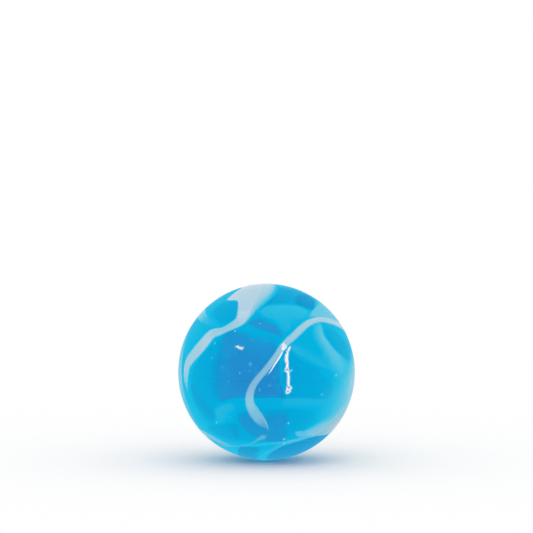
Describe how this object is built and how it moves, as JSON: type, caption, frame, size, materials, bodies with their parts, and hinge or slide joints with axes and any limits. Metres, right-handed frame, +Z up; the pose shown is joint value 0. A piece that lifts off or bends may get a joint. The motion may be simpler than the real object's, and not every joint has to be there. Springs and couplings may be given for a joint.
{
  "type": "glass marble",
  "caption": "Solid ball of clear blue glass with curling white glass ribbons fused into its skin, a playing and shooter ball or a small roller.",
  "frame": {"origin": "centre of the ball", "axes": "+Z up, the front with the S-shaped ribbon and the crease towards -Y, +X to the right seen from the front"},
  "size_m": [0.016, 0.016, 0.016],
  "materials": {
    "blue_glass": "clear sky-blue glass, glossy and fire-polished, with seed bubbles and veils",
    "white_glass": "opal white glass, glossy, slightly milky where it thins into the blue"
  },
  "bodies": {
    "root": {"marble": "blue_glass"}
  },
  "joints": []
}
